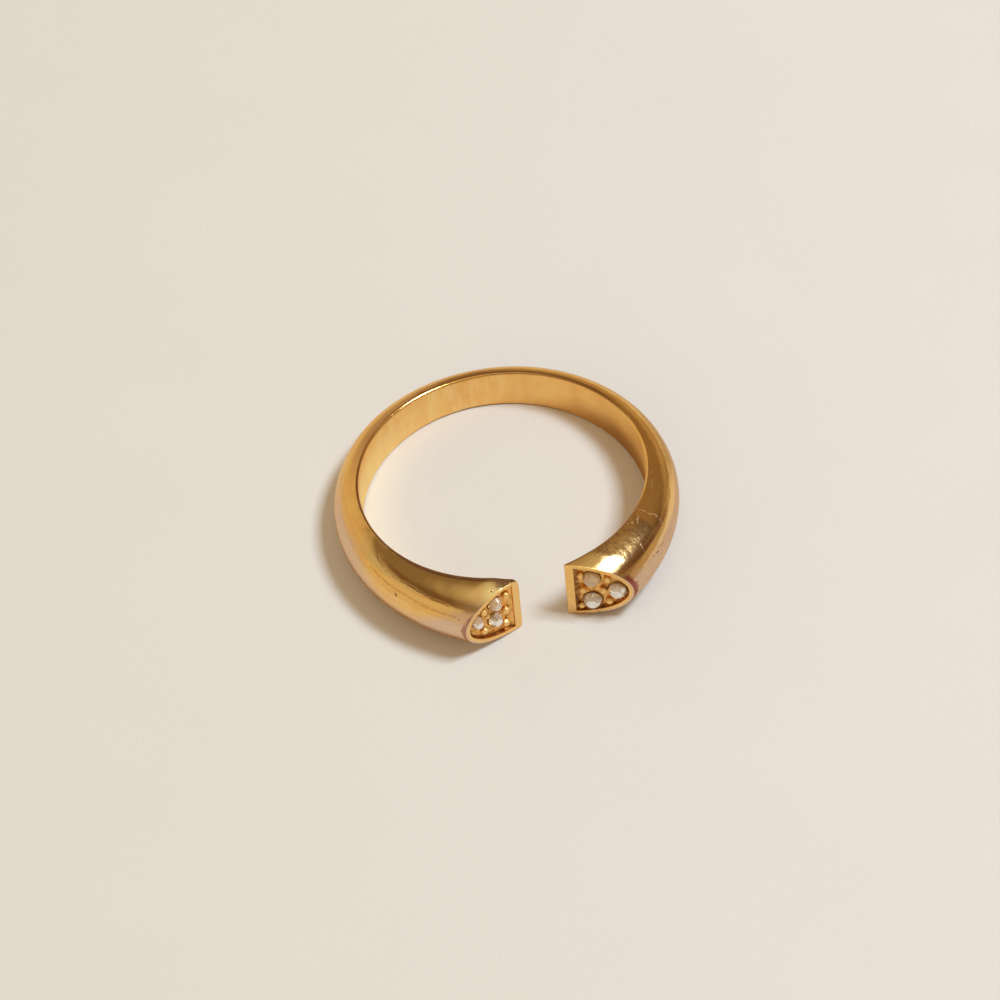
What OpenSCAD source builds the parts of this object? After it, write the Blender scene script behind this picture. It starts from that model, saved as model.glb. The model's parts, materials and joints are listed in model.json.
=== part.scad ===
// Open cuff ring: a D-section band that thickens towards two slanted, stone-set ends.
// The ring lies on a flat surface at z = 0, as it comes to rest by itself, with its gap towards -Y.

/* [Finger] */
// Inside diameter of the band
bore_d = 17; // [15:0.5:21]
// Width of the opening between the two tips
gap_w = 2.8; // [2:0.1:4]

/* [Band] */
// Height of the band's inner wall at the middle of the back
back_height = 2.6; // [2:0.1:3.4]
// Thickness of the band at the middle of the back
back_thickness = 1.4; // [1.2:0.1:2.2]
// Height of the band's inner wall at the tips
tip_height = 4.4; // [4:0.1:5.4]
// Thickness that the band reaches at the tips, before the slanted faces are cut
tip_thickness = 3.2; // [2.8:0.1:4]
// How late the height grows along each arm, 1 being evenly
height_growth = 1.3; // [1:0.1:2]
// How late the thickness grows along each arm, 1 being evenly
thickness_growth = 2.8; // [2:0.1:4]
// Width of the worn bevel on the two inner edges
bevel_w = 0.16; // [0.08:0.02:0.24]

/* [End faces] */
// Angle between an end face and the radial plane through its tip
face_slant = 58; // [48:1:60]
// Width of the blunt land on each tip's inner edge
tip_land = 0.14; // [0.08:0.02:0.24]
// Width of the rim along the face's straight inner side
inner_rim = 0.5; // [0.44:0.02:0.7]
// Width of the rim along the face's curved side
curved_rim = 0.3; // [0.2:0.02:0.44]
// Depth of the pocket below the rim
pocket_depth = 0.24; // [0.14:0.02:0.26]

/* [Stones] */
// Diameter of a stone of full size across its girdle
stone_d = 1.18; // [0.9:0.02:1.2]
// Height of the crown above the girdle
crown_h = 0.36; // [0.2:0.02:0.42]
// Depth of the pavilion below the girdle
pavilion_h = 0.4; // [0.3:0.02:0.48]
// Thickness of the girdle
girdle_h = 0.12; // [0.06:0.02:0.16]
// Clearance between a stone and its seat
seat_gap = 0.04; // [0.02:0.01:0.06]

/* [Grains] */
// Diameter of each grain of metal that holds the stones
grain_d = 0.44; // [0.36:0.02:0.5]
// How far a grain of full size stands above the rim
grain_rise = 0.08; // [0:0.02:0.12]

/* [Hidden] */
$fn = 48;

LEFT = -1;
RIGHT = 1;

// Steps of the band's sweep along its length, and of its section from an inner edge to the middle
SWEEP_STEPS = 68;
ARCH_STEPS = 10;
// Sides of a stone, and the widths of its table and culet as shares of its diameter
STONE_SIDES = 8;
TABLE_SHARE = 0.56;
CULET_SHARE = 0.14;
// How far the sweep reaches into the bore, and how far a cutter passes the surface that it opens
SKIN = 0.4;
MARGIN = 1;

// Stones of each end: along the pocket from its inner side, up from its middle line as a share of
// half the tip's height, diameter as a share of a full stone's, and turn in degrees
LOW = 0;
HIGH = 1;
OUTER = 2;
LEFT_STONES = [
    [0.40, -0.18, 0.80, 10],
    [0.38, 0.42, 0.78, 32],
    [0.81, 0.15, 0.68, 5],
];
RIGHT_STONES = [
    [0.31, -0.47, 1.00, 14],
    [0.31, 0.38, 0.93, 0],
    [0.78, -0.03, 0.96, 28],
];
// Grains of each end: along the pocket, up from its middle line, and diameter, as shares like the stones'
LEFT_GRAINS = [
    [0.13, 0.60, 1.0],
    [0.15, 0.06, 1.0],
    [0.18, -0.50, 1.0],
    [0.64, 0.44, 1.0],
    [0.56, 0.12, 0.7],
    [0.66, -0.34, 1.0],
];
RIGHT_GRAINS = [
    [0.12, 0.50, 1.0],
    [0.15, -0.06, 1.0],
    [0.10, -0.68, 0.9],
    [0.61, 0.40, 1.0],
    [0.52, -0.05, 1.0],
    [0.62, -0.45, 1.0],
];

bore_r = bore_d / 2;
stone_r = stone_d / 2;

// Angles run from the middle of the back, positive along the right arm
tip_angle = 180 - asin(gap_w / 2 / bore_r);
end_angle = tip_angle + 3;

// Heading of a face away from the gap, and the corner where it meets the tip's land
face_heading = tip_angle - face_slant;
face_corner = [gap_w / 2, -bore_r * cos(180 - tip_angle) - tip_land];

function half_height(a) =
    (back_height + (tip_height - back_height) * pow(abs(a) / tip_angle, height_growth)) / 2;

function thickness(a) =
    back_thickness + (tip_thickness - back_thickness) * pow(abs(a) / tip_angle, thickness_growth);

// Section at an angle, as radius and height: a half ellipse on the inner wall, with bevelled corners
function upper_section(a) =
    let (h = half_height(a), t = thickness(a), start = asin(bevel_w / t))
    concat(
        [[bore_r - SKIN, h - bevel_w - SKIN]],
        [for (k = [0 : ARCH_STEPS])
            let (f = start + (90 - start) * k / ARCH_STEPS)
            [bore_r + t * sin(f), h * cos(f)]]
    );

function section(a) =
    let (upper = upper_section(a))
    concat(upper, [for (k = [len(upper) - 2 : -1 : 0]) [upper[k][0], -upper[k][1]]]);

function placed(a, p) = [p[0] * sin(a), p[0] * cos(a), p[1]];

function station_angle(i) = end_angle * (2 * i / SWEEP_STEPS - 1);

// Where a face, followed from its corner, leaves the band's outer surface at mid-height
function face_point(w) = face_corner + w * [sin(face_heading), cos(face_heading)];

function depth_past_surface(w) =
    let (p = face_point(w))
    norm(p) - bore_r - thickness(atan2(p[0], p[1]));

function face_reach(low, high, halvings) =
    let (middle = (low + high) / 2)
    halvings == 0 ? middle
        : depth_past_surface(middle) < 0 ? face_reach(middle, high, halvings - 1)
        : face_reach(low, middle, halvings - 1);

face_l = face_reach(0, 4 * tip_thickness, 24);
face_h = tip_height / 2;
pocket_l = face_l - inner_rim - curved_rim;

// The ring rests on its two tips and on its back. The tips are taller, so the gap's side is raised:
// the tilt is the least slope from the tips' lower corners to any other low point of the band.
low_points = [
    for (i = [0 : SWEEP_STEPS], p = upper_section(station_angle(i)))
        let (y = p[0] * cos(station_angle(i)))
        if (p[0] > bore_r && y > -bore_r / 2) [y, -p[1]]
];
tip_low = [face_corner[1], -half_height(tip_angle) * cos(asin(bevel_w / tip_thickness))];
lay_tilt = atan(min([for (p = low_points) (p[1] - tip_low[1]) / (p[0] - tip_low[0])]));
lay_lift = -(tip_low[1] * cos(lay_tilt) - tip_low[0] * sin(lay_tilt));
lay_shift = -(bore_r + back_thickness + face_point(face_l)[1]) / 2 * cos(lay_tilt);

module laid() {
    translate([0, lay_shift, lay_lift]) rotate([-lay_tilt, 0, 0]) children();
}

// Places things on an end face: X along it from its corner, Y up, Z out of the metal
module on_right_face() {
    translate([face_corner[0], face_corner[1], 0]) rotate([90, 0, 90 - face_heading]) children();
}

module on_face(side) {
    if (side == RIGHT) on_right_face() children();
    else mirror([1, 0, 0]) on_right_face() children();
}

// Places a thing on the pocket's floor by the shares of a stone's or grain's row
module on_floor(row) {
    translate([inner_rim + row[0] * pocket_l, row[1] * face_h, -pocket_depth]) children();
}

module swept_band() {
    sides = len(section(0));
    points = [
        for (i = [0 : SWEEP_STEPS], p = section(station_angle(i)))
            placed(station_angle(i), p)
    ];
    walls = [
        for (i = [0 : SWEEP_STEPS - 1], j = [0 : sides - 1])
            let (
                a = i * sides + j,
                b = i * sides + (j + 1) % sides,
                c = b + sides,
                d = a + sides
            )
            each (i < SWEEP_STEPS / 2 ? [[a, b, c], [a, c, d]] : [[a, b, d], [b, c, d]])
    ];
    first_end = [for (j = [sides - 1 : -1 : 0]) j];
    last_end = [for (j = [0 : sides - 1]) SWEEP_STEPS * sides + j];
    polyhedron(points, concat(walls, [first_end, last_end]), convexity = 6);
}

// The gap between the lands, opening into the space in front of both faces
module mouth() {
    reach = face_point(2 * face_l);
    inside = bore_r / 2;
    outside = bore_r + 2 * tip_thickness;
    right_side = [
        [gap_w / 2, -inside],
        face_corner,
        reach,
        [reach[0], -outside],
    ];
    left_side = [for (k = [len(right_side) - 1 : -1 : 0]) [-right_side[k][0], right_side[k][1]]];
    translate([0, 0, -tip_height])
        linear_extrude(2 * tip_height) polygon(concat(right_side, left_side));
}

module opened_band() {
    difference() {
        swept_band();
        mouth();
    }
}

// Outline of a face, drawn in by the curved rim
function pocket_outline() = [
    for (f = [-90 : 7.5 : 90])
        let (out = [cos(f) / face_l, sin(f) / face_h])
        [face_l * cos(f), face_h * sin(f)] - curved_rim * out / norm(out)
];

module pocket() {
    intersection() {
        translate([0, 0, -pocket_depth])
            linear_extrude(pocket_depth + MARGIN) polygon(pocket_outline());
        translate([inner_rim, -face_h, -pocket_depth - MARGIN])
            cube([face_l, 2 * face_h, pocket_depth + 3 * MARGIN]);
    }
}

module grain(row) {
    on_floor(row) translate([0, 0, pocket_depth + grain_rise - grain_d / 2])
        sphere(d = grain_d * row[2]);
}

// The room that a stone needs, from its culet to its table. The grains lean over its crown.
module seat(row) {
    r = stone_r * row[2];
    seat_r = r + seat_gap;
    table_r = r * TABLE_SHARE + seat_gap;
    girdle_top = girdle_h + seat_gap;
    on_floor(row) rotate_extrude()
        polygon([
            [0, -pavilion_h - 2 * seat_gap],
            [r * CULET_SHARE, -pavilion_h - 2 * seat_gap],
            [seat_r, -seat_gap],
            [seat_r, girdle_top],
            [table_r, girdle_top + crown_h],
            [table_r, girdle_top + crown_h + MARGIN],
            [0, girdle_top + crown_h + MARGIN],
        ]);
}

module stone(row) {
    r = stone_r * row[2];
    top = girdle_h + crown_h;
    rings = [
        [r * TABLE_SHARE, top],
        [r, girdle_h],
        [r, 0],
        [r * CULET_SHARE, -pavilion_h],
    ];
    points = [
        for (ring = rings, k = [0 : STONE_SIDES - 1])
            let (f = 360 * k / STONE_SIDES)
            [ring[0] * cos(f), ring[0] * sin(f), ring[1]]
    ];
    bands = [
        for (i = [0 : len(rings) - 2], k = [0 : STONE_SIDES - 1])
            let (next = (k + 1) % STONE_SIDES)
            [
                i * STONE_SIDES + k, i * STONE_SIDES + next,
                (i + 1) * STONE_SIDES + next, (i + 1) * STONE_SIDES + k,
            ]
    ];
    table = [for (k = [STONE_SIDES - 1 : -1 : 0]) k];
    culet = [for (k = [0 : STONE_SIDES - 1]) (len(rings) - 1) * STONE_SIDES + k];
    on_floor(row) rotate([0, 0, row[3]]) polyhedron(points, concat([table], bands, [culet]));
}

module band() {
    color("goldenrod") laid() difference() {
        union() {
            difference() {
                opened_band();
                cylinder(h = 2 * tip_height, r = bore_r, center = true);
                for (side = [LEFT, RIGHT]) on_face(side) pocket();
            }
            for (row = LEFT_GRAINS) on_face(LEFT) grain(row);
            for (row = RIGHT_GRAINS) on_face(RIGHT) grain(row);
        }
        for (row = LEFT_STONES) on_face(LEFT) seat(row);
        for (row = RIGHT_STONES) on_face(RIGHT) seat(row);
    }
}

module set_stone(side, row) {
    color("gainsboro") laid() on_face(side) stone(row);
}

module left_stone_low() {
    set_stone(LEFT, LEFT_STONES[LOW]);
}

module left_stone_high() {
    set_stone(LEFT, LEFT_STONES[HIGH]);
}

module left_stone_outer() {
    set_stone(LEFT, LEFT_STONES[OUTER]);
}

module right_stone_low() {
    set_stone(RIGHT, RIGHT_STONES[LOW]);
}

module right_stone_high() {
    set_stone(RIGHT, RIGHT_STONES[HIGH]);
}

module right_stone_outer() {
    set_stone(RIGHT, RIGHT_STONES[OUTER]);
}

band();
left_stone_low();
left_stone_high();
left_stone_outer();
right_stone_low();
right_stone_high();
right_stone_outer();
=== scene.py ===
# Open cuff ring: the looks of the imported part, in metres, in the part's own frame.
import json
import math
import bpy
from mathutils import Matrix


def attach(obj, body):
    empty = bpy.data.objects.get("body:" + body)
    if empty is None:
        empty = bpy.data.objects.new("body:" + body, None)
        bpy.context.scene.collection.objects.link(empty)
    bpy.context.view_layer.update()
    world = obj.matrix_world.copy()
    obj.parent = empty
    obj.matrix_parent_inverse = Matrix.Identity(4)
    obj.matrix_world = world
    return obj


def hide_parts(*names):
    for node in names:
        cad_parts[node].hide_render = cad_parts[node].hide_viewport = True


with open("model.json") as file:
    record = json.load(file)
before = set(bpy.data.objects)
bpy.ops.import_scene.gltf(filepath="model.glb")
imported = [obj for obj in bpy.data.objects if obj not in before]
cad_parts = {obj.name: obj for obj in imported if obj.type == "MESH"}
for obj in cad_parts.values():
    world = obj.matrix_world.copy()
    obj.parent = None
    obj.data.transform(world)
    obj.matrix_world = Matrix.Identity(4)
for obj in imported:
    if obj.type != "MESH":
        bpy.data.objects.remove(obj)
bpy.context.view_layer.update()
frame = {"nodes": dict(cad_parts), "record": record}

from types import SimpleNamespace

import bmesh
import bpy
import numpy as np
from mathutils import Matrix, Vector, geometry, noise

MM = 0.001
LEFT = -1
RIGHT = 1

# The part's own sizes, in millimetres
GAP_W = 2.8
BACK_HEIGHT = 2.6
BACK_THICKNESS = 1.4
TIP_HEIGHT = 4.4
TIP_THICKNESS = 3.2
HEIGHT_GROWTH = 1.3
THICKNESS_GROWTH = 2.8
BEVEL_W = 0.16
FACE_SLANT = 58.0
TIP_LAND = 0.14
INNER_RIM = 0.5
CURVED_RIM = 0.3
POCKET_DEPTH = 0.24
SEAT_GAP = 0.04
GRAIN_D = 0.44
GRAIN_RISE = 0.08
GIRDLE_H = 0.12
CROWN_H = 0.36
PAVILION_H = 0.4
TABLE_SHARE = 0.56
CULET_SHARE = 0.14

# The pocket as it is worn: wider than it was cut, with its floor rising to the straight side
WORN_INNER_RIM = 0.48
WORN_CURVED_RIM = 0.27
FLOOR_START = 0.11
FLOOR_SLOPE = 0.45

# Grains of each end: along the pocket, up from its middle line, and diameter, as shares
GRAINS = {
    LEFT: [
        (0.13, 0.50, 1.05),
        (0.15, -0.06, 1.05),
        (0.18, -0.53, 1.1),
        (0.64, 0.37, 1.05),
        (0.56, 0.12, 0.7),
        (0.66, -0.34, 1.0),
    ],
    RIGHT: [
        (0.12, 0.50, 1.0),
        (0.15, -0.06, 1.0),
        (0.10, -0.68, 0.9),
        (0.61, 0.40, 1.0),
        (0.52, -0.05, 1.0),
        (0.62, -0.45, 1.0),
    ],
}
STONES = {
    LEFT: ["left_stone_low", "left_stone_high", "left_stone_outer"],
    RIGHT: ["right_stone_low", "right_stone_high", "right_stone_outer"],
}

# The band's mesh: stations along it, lines across its wall, bevel and arch, and points along the
# pocket's curved side
STATIONS = 421
WALL_LINES = 13
BEVEL_LINES = 9
ARCH_LINES = 72
CURVE_POINTS = 241
# The share of the pocket's straight side that has points, to keep them off its corners
STRAIGHT_SHARE = 0.985
# The step of the grid on the pocket's floor, and its least distance from the pocket's outline
FLOOR_STEP = 0.06
FLOOR_CLEAR = 0.7 * FLOOR_STEP
# Points no farther than this along the face are on the tip's land
NEAR_LAND = 1e-4
# Points of the floor nearer than this are one
MERGED = 1e-6
# How often a stretch is halved to find an edge
HALVINGS = 50
# Edges: how wide they are rounded and in how many steps, the angle in degrees from which they are, and
# the angle from which an edge is still shaded sharp
EDGE_ROUND = 0.035
EDGE_SEGMENTS = 3
ROUNDED_ANGLE = 40
SHARP_ANGLE = 35
# Wear: by about what share the section has shrunk, and how fine its broad and fine unevenness are; the
# slope of the top next to the faces, and from how far behind them; how far the left tip's top corner is
# down, and within what reach; and the radius of each tip's upper and lower inner corners
SHRINK = 0.006
BROAD_WEAR = 0.55
FINE_WEAR = 1.7
ROLLED_SLOPE = 0.13
ROLLED_REACH = 1.1
ROLLED_START = 0.25
CORNER_WORN = 0.2
CORNER_REACH = 1.5
CORNER_ROUND = {LEFT: (0.55, 0.25), RIGHT: (0.2, 0.2)}
# The graver's marks on the pocket's floor: how fine, where in the noise, and how high
TOOL_MARKS = [(2.1, 7.1, 0.03), (6.5, 3.3, 0.015)]
# The unevenness of the grains, as a share of their radius, and how fine it is
GRAIN_DENT = 0.12
GRAIN_FINENESS = 1.7
SEAT_SIDES = 48

# The ring's axis and place come from its finger bore
bore = next(m for m in frame["record"]["mounts"] if m["name"] == "finger_bore")
BORE_R = bore["dims"]["r_mm"]
ring_z = Vector(bore["axis"]).normalized()
ring_x = Vector((1, 0, 0))
ring_y = ring_z.cross(ring_x)
LAID = Matrix.Translation(bore["pos_m"]) @ Matrix((ring_x, ring_y, ring_z)).transposed().to_4x4()

TIP_ANGLE = math.pi - math.asin(GAP_W / 2 / BORE_R)
FACE_HEADING = TIP_ANGLE - math.radians(FACE_SLANT)
FACE_CORNER = np.array([GAP_W / 2, BORE_R * math.cos(TIP_ANGLE) - TIP_LAND])
ALONG_FACE = np.array([math.sin(FACE_HEADING), math.cos(FACE_HEADING)])
OUT_OF_FACE = np.array([ALONG_FACE[1], -ALONG_FACE[0]])


def half_height(a):
    return (BACK_HEIGHT + (TIP_HEIGHT - BACK_HEIGHT) * (np.abs(a) / TIP_ANGLE) ** HEIGHT_GROWTH) / 2


def thickness(a):
    grown = (np.abs(a) / TIP_ANGLE) ** THICKNESS_GROWTH
    return BACK_THICKNESS + (TIP_THICKNESS - BACK_THICKNESS) * grown


def profile_lines():
    """The lines that run along the band, as (kind, share), in order round its section."""
    wall = [("wall", -1 + 2 * k / (WALL_LINES - 1)) for k in range(WALL_LINES)]
    top = [("top bevel", k / BEVEL_LINES) for k in range(1, BEVEL_LINES)]
    arch = [("arch", k / (ARCH_LINES - 1)) for k in range(ARCH_LINES)]
    low = [("low bevel", 1 - k / BEVEL_LINES) for k in range(1, BEVEL_LINES)]
    return wall + top + arch + low


def on_section(line, a):
    """Radius and height, in millimetres, of a line at angles a."""
    kind, share = line
    h, t = half_height(a), thickness(a)
    if kind == "wall":
        return BORE_R + 0 * a, share * (h - BEVEL_W)
    start = np.arcsin(BEVEL_W / t)
    if kind == "arch":
        f = start + (math.pi - 2 * start) * share
        return BORE_R + t * np.sin(f), h * np.cos(f)
    side = 1 if kind == "top bevel" else -1
    low, high = h - BEVEL_W, h * np.cos(start)
    f = math.pi / 2 * share
    return BORE_R + BEVEL_W * (1 - math.cos(f)), side * (low + (high - low) * math.sin(f))


def from_corner(x, y):
    """How far a point of the right arm lies along the face from its inner end, and out of the face."""
    x, y = x - FACE_CORNER[0], y - FACE_CORNER[1]
    return x * ALONG_FACE[0] + y * ALONG_FACE[1], x * OUT_OF_FACE[0] + y * OUT_OF_FACE[1]


def past_end(line, a):
    """How far a point of a line at angle a lies past the tip's land or the slanted face."""
    r, _ = on_section(line, a)
    x, y = r * np.sin(a), r * np.cos(a)
    return np.maximum(FACE_CORNER[0] - x, from_corner(x, y)[1])


def last_inside(low, high, inside):
    """Halves a stretch until it closes on the last place that is inside."""
    for _ in range(HALVINGS):
        middle = (low + high) / 2
        if inside(middle):
            low = middle
        else:
            high = middle
    return low


def end_angle(line):
    return last_inside(math.radians(90), TIP_ANGLE + 0.1, lambda a: past_end(line, a) < 0)


def in_metal(along):
    x, y = FACE_CORNER + along * ALONG_FACE
    return math.hypot(x, y) - BORE_R < thickness(math.atan2(x, y))


FACE_L = last_inside(0.0, 4 * TIP_THICKNESS, in_metal)
FACE_H = TIP_HEIGHT / 2
POCKET_L = FACE_L - INNER_RIM - CURVED_RIM


def pocket_curve():
    """The pocket's curved side on the face, from its upper inner corner to its lower one."""
    f = np.linspace(math.pi / 2, -math.pi / 2, CURVE_POINTS)
    ellipse = np.stack([FACE_L * np.cos(f), FACE_H * np.sin(f)], axis=1)
    out = np.stack([np.cos(f) / FACE_L, np.sin(f) / FACE_H], axis=1)
    points = ellipse - WORN_CURVED_RIM * out / np.linalg.norm(out, axis=1, keepdims=True)
    inside = points[points[:, 0] > WORN_INNER_RIM]
    upper = points[: CURVE_POINTS // 2]
    corner_y = np.interp(WORN_INNER_RIM, upper[:, 0], upper[:, 1])
    return np.vstack([[WORN_INNER_RIM, corner_y], inside, [WORN_INNER_RIM, -corner_y]])


def length_shares(points):
    """How far along a line each of its points lies, from 0 to 1."""
    steps = np.linalg.norm(np.diff(points, axis=0), axis=1)
    return np.concatenate([[0], np.cumsum(steps)]) / steps.sum()


def by_length(points, shares):
    """Places on a line at shares of its length."""
    at = length_shares(points)
    return np.stack([np.interp(shares, at, points[:, k]) for k in range(2)], axis=1)


def face_to_ring(side, x, y, z):
    """A point on an end face, x along it, y up and z out of the metal, in the ring's own frame."""
    flat = FACE_CORNER + x * ALONG_FACE + z * OUT_OF_FACE
    return (side * flat[0], flat[1], y)


def faced_outward(mesh):
    """The mesh, with its faces turned outward."""
    bm = bmesh.new()
    bm.from_mesh(mesh)
    bmesh.ops.recalc_face_normals(bm, faces=bm.faces)
    bm.to_mesh(mesh)
    bm.free()
    return mesh


def band_mesh():
    """The band with its two slanted faces and their pockets, in millimetres in the ring's own frame."""
    lines = profile_lines()
    count = len(lines)
    ends = [end_angle(line) for line in lines]
    verts = []
    for share in np.linspace(-1, 1, STATIONS):
        for line, end in zip(lines, ends):
            a = share * end
            r, z = on_section(line, a)
            verts.append((r * math.sin(a), r * math.cos(a), float(z)))
    rings = [range(i * count, (i + 1) * count) for i in range(STATIONS)]
    faces = []
    for ring, following in zip(rings, rings[1:]):
        add_strip(faces, ring, following)
    close_end(LEFT, rings[0], verts, faces)
    close_end(RIGHT, rings[-1], verts, faces)
    mesh = bpy.data.meshes.new("band_metal")
    mesh.from_pydata([worn(Vector(v)) for v in verts], [], faces)
    return faced_outward(mesh)


def close_end(side, edge, verts, faces):
    """Adds the land, rim, pocket wall and pocket floor to the band's open end."""
    face_edge = []
    flat = []
    for v in edge:
        x, y, z = verts[v]
        along, _ = from_corner(side * x, y)
        if along < NEAR_LAND:
            face_edge.append(len(verts))
            verts.append(face_to_ring(side, 0, z, 0))
            flat.append((0.0, z))
        else:
            face_edge.append(v)
            flat.append((along, z))
    outline = pocket_outline(np.array(flat))
    rim = range(len(verts), len(verts) + len(edge))
    verts += [face_to_ring(side, x, y, 0) for x, y in outline]
    foot = range(len(verts), len(verts) + len(edge))
    verts += [face_to_ring(side, x, y, floor_height(x)) for x, y in outline]
    add_strip(faces, edge, face_edge)
    add_strip(faces, face_edge, rim)
    add_strip(faces, rim, foot)
    fill_floor(side, outline, foot, verts, faces)


def pocket_outline(edge):
    """A point on the pocket's outline for each point on the face's edge."""
    straight = edge[:, 0] == 0
    curve = pocket_curve()
    outline = np.full_like(edge, WORN_INNER_RIM)
    outline[~straight] = by_length(curve, length_shares(edge[~straight]))
    heights = edge[straight][:, 1]
    outline[straight, 1] = heights * (STRAIGHT_SHARE * curve[0][1] / heights.max())
    return outline


def add_strip(faces, outer, inner):
    """Adds the faces between two loops of vertices, which may share some."""
    count = len(outer)
    for j in range(count):
        k = (j + 1) % count
        ring = []
        for v in (outer[j], outer[k], inner[k], inner[j]):
            if v not in ring:
                ring.append(v)
        if len(ring) > 2:
            faces.append(tuple(ring))


def fill_floor(side, outline, foot, verts, faces):
    """A fine, uneven floor inside the pocket, on the loop of vertices at the foot of its wall."""
    count = len(outline)
    points = [Vector(p) for p in outline] + floor_grid(outline)
    edges = [(j, (j + 1) % count) for j in range(count)]
    within_edges = 1
    made = geometry.delaunay_2d_cdt(points, edges, [], within_edges, MERGED)
    where = []
    for p, sources in zip(made[0], made[3]):
        if sources and sources[0] < count:
            where.append(foot[sources[0]])
        else:
            where.append(len(verts))
            height = floor_height(p.x) + floor_uneven(p.x, p.y, side)
            verts.append(face_to_ring(side, p.x, p.y, height))
    for f in made[2]:
        faces.append(tuple(where[v] for v in f))


def floor_grid(outline):
    """The places of a grid that lie inside the pocket's outline and clear of it."""
    points = []
    for x in np.arange(WORN_INNER_RIM + FLOOR_STEP, FACE_L, FLOOR_STEP):
        for y in np.arange(-FACE_H, FACE_H, FLOOR_STEP):
            away = np.linalg.norm(outline - (x, y), axis=1).min()
            if away > FLOOR_CLEAR and inside_loop(x, y, outline):
                points.append(Vector((x, y)))
    return points


def inside_loop(x, y, loop):
    ax, ay = loop[:, 0], loop[:, 1]
    bx, by = np.roll(ax, -1), np.roll(ay, -1)
    crossed = (ay > y) != (by > y)
    at = ax[crossed] + (bx[crossed] - ax[crossed]) * (y - ay[crossed]) / (by[crossed] - ay[crossed])
    return (at > x).sum() % 2 == 1


def floor_height(x):
    return -min(POCKET_DEPTH, FLOOR_START + FLOOR_SLOPE * (x - WORN_INNER_RIM))


def floor_uneven(x, y, side):
    """The height of the graver's marks on the pocket's floor, in millimetres."""
    height = 0
    for fineness, place, high in TOOL_MARKS:
        height += high * noise.noise(Vector((x * fineness, y * fineness, place * side)))
    return height


def worn(p):
    """Moves a point of the new band, in the ring's own frame, to where years of wear have left it."""
    broad = 0.5 + 0.5 * noise.noise(p * BROAD_WEAR)
    fine = 0.5 + 0.5 * noise.noise(p * FINE_WEAR)
    kept = 1 - SHRINK * (broad + fine / 2)
    radius = math.hypot(p.x, p.y)
    inward = (BORE_R + (radius - BORE_R) * kept) / radius
    p = Vector((p.x * inward, p.y * inward, p.z * kept))
    if p.y > 0:
        return p
    side = RIGHT if p.x > 0 else LEFT
    along, out = from_corner(abs(p.x), p.y)
    near = max(0.0, ROLLED_REACH + out)
    up = p.z
    if up > 0:
        up -= up / FACE_H * ROLLED_SLOPE * near * near / (near + ROLLED_START)
    if side == LEFT:
        away = math.hypot(along, out, up - FACE_H) / CORNER_REACH
        up -= CORNER_WORN * max(0.0, 1 - away * away) ** 2
    return Vector(face_to_ring(side, *rounded(side, along, up), out))


def rounded(side, along, up):
    """Rounds the inner corners of a face, as seen along its normal."""
    ball = CORNER_ROUND[side][0 if up > 0 else 1]
    top = FACE_H * (1 - SHRINK) - (CORNER_WORN if side == LEFT and up > 0 else 0)
    x, y = along - ball, abs(up) - (top - ball)
    far = math.hypot(x, y)
    if x > 0 or y < 0 or far < ball:
        return along, up
    return ball + x * ball / far, math.copysign(top - ball + y * ball / far, up)


def new_object(name, mesh):
    obj = bpy.data.objects.new(name, mesh)
    bpy.context.scene.collection.objects.link(obj)
    return obj


def apply_modifiers(obj):
    graph = bpy.context.evaluated_depsgraph_get()
    mesh = bpy.data.meshes.new_from_object(obj.evaluated_get(graph))
    obj.modifiers.clear()
    obj.data = mesh


def face_axes(side):
    """Where an end face's inner end is, and its directions along, up and out, in the part's frame."""
    steps = ((0, 0, 0), (1, 0, 0), (0, 1, 0), (0, 0, 1))
    corner, *ends = (LAID @ (Vector(face_to_ring(side, *step)) * MM) for step in steps)
    return corner, *((end - corner).normalized() for end in ends)


def on_axes(axes, x, y, z):
    """A point on an end face, in metres in the part's frame."""
    corner, along, up, out = axes
    return corner + along * x + up * y + out * z


def stone_place(name, side):
    """Where a stone sits on its face: its centre, its radius and the heights of its parts."""
    corner, *directions = face_axes(side)
    points = {tuple(round(c, 7) for c in v.co) for v in frame["nodes"][name].data.vertices}
    flat = np.array([[(Vector(p) - corner).dot(d) for d in directions] for p in points])
    centre = flat[:, :2].mean(axis=0)
    culet = flat[:, 2].min()
    low = culet + PAVILION_H * MM
    high = low + GIRDLE_H * MM
    return SimpleNamespace(
        centre=centre,
        radius=np.linalg.norm(flat[:, :2] - centre, axis=1).max(),
        culet=culet,
        low_girdle=low,
        high_girdle=high,
        table=high + CROWN_H * MM,
    )


def turned_points(side, centre, rings, twist):
    """Points about a face's normal, on rings of (radius, height, number of points, turn in points)."""
    axes = face_axes(side)
    points = []
    for radius, height, count, turn in rings:
        for k in range(count):
            f = twist + 2 * math.pi * (k + turn) / count
            x, y = centre[0] + radius * math.cos(f), centre[1] + radius * math.sin(f)
            points.append(on_axes(axes, x, y, height))
    return points


def mesh_from(bm, name):
    mesh = bpy.data.meshes.new(name)
    bm.to_mesh(mesh)
    bm.free()
    return mesh


def joined(meshes, name):
    bm = bmesh.new()
    for mesh in meshes:
        bm.from_mesh(mesh)
    return faced_outward(mesh_from(bm, name))


def grain_mesh(side, row):
    """A small bead of metal raised from the pocket's floor."""
    x, y, size = row
    along = (INNER_RIM + x * POCKET_L) * MM
    centre = on_axes(face_axes(side), along, y * FACE_H * MM, (GRAIN_RISE - GRAIN_D / 2) * MM)
    own_noise = Vector((x * 40, y * 40, side * 9))
    bm = bmesh.new()
    bmesh.ops.create_icosphere(bm, subdivisions=4, radius=GRAIN_D * size / 2 * MM)
    for v in bm.verts:
        uneven = noise.noise(v.co.normalized() * GRAIN_FINENESS + own_noise)
        v.co = centre + v.co * (1 + GRAIN_DENT * uneven)
    return mesh_from(bm, "grain")


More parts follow.
